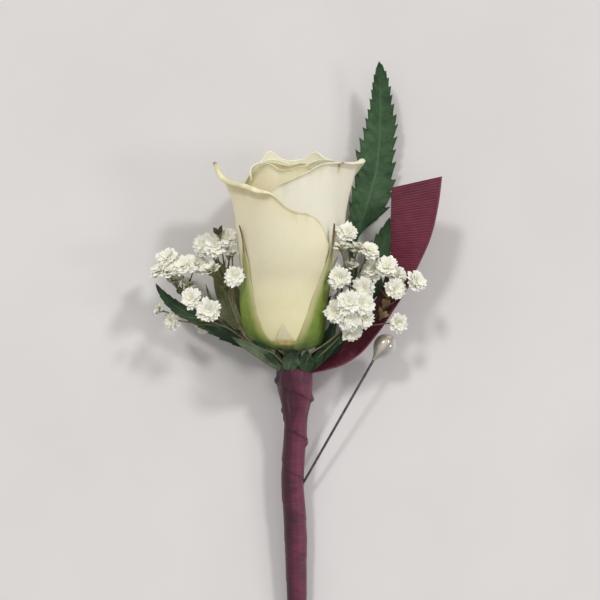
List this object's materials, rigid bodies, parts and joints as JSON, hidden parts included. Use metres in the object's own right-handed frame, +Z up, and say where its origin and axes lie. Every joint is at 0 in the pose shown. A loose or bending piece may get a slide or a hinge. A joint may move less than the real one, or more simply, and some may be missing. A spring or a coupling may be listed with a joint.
{
  "type": "boutonniere",
  "caption": "Buttonhole flower lying down: white rose bud with fern, baby's breath, a maroon ribbon tail, ribbon-wrapped stems and a pearl-headed pin.",
  "frame": {"origin": "centre of the bounding box, at the table surface under the lying bunch", "axes": "+Y from the cut stems towards the fern's tip, +Z up from the table, +X to the side of the ribbon and the pin"},
  "size_m": [0.0784, 0.1592, 0.0315],
  "materials": {
    "petal": "soft matt petal",
    "sepal": "waxy green",
    "stem": "smooth green stem",
    "fern": "dark leathery leaf",
    "olive_leaf": "thin olive leaf",
    "florets": "papery white florets on green stalks",
    "ribbon": "ribbed grosgrain",
    "steel": "polished wire",
    "pearl": "pearl lustre"
  },
  "bodies": {
    "root": {"petal_outer_left": "petal", "petal_outer_right": "petal", "petal_outer_back": "petal", "petal_second_left": "petal", "petal_second_right": "petal", "petal_second_back": "petal", "petal_third_left": "petal", "petal_third_right": "petal", "petal_third_back": "petal", "petal_inner_left": "petal", "petal_inner_right": "petal", "petal_heart": "petal", "sepal_left": "sepal", "sepal_right": "sepal", "sepal_back_left": "sepal", "sepal_back_right": "sepal", "rose_stem": "stem", "fern_main": "fern", "fern_right": "fern", "leaf_left": "fern", "collar_leaf_left": "fern", "collar_leaf_right": "fern", "leaf_back_left": "olive_leaf", "sprig_left_top": "florets", "sprig_left_low": "florets", "sprig_left_mid": "florets", "sprig_left_under": "florets", "sprig_right_under": "florets", "sprig_right_far": "florets", "sprig_right_top": "florets", "sprig_right_low": "florets", "ribbon_tail": "ribbon", "stem_wrap": "ribbon", "pin_shaft": "steel", "pin_pearl": "pearl"}
  },
  "joints": []
}
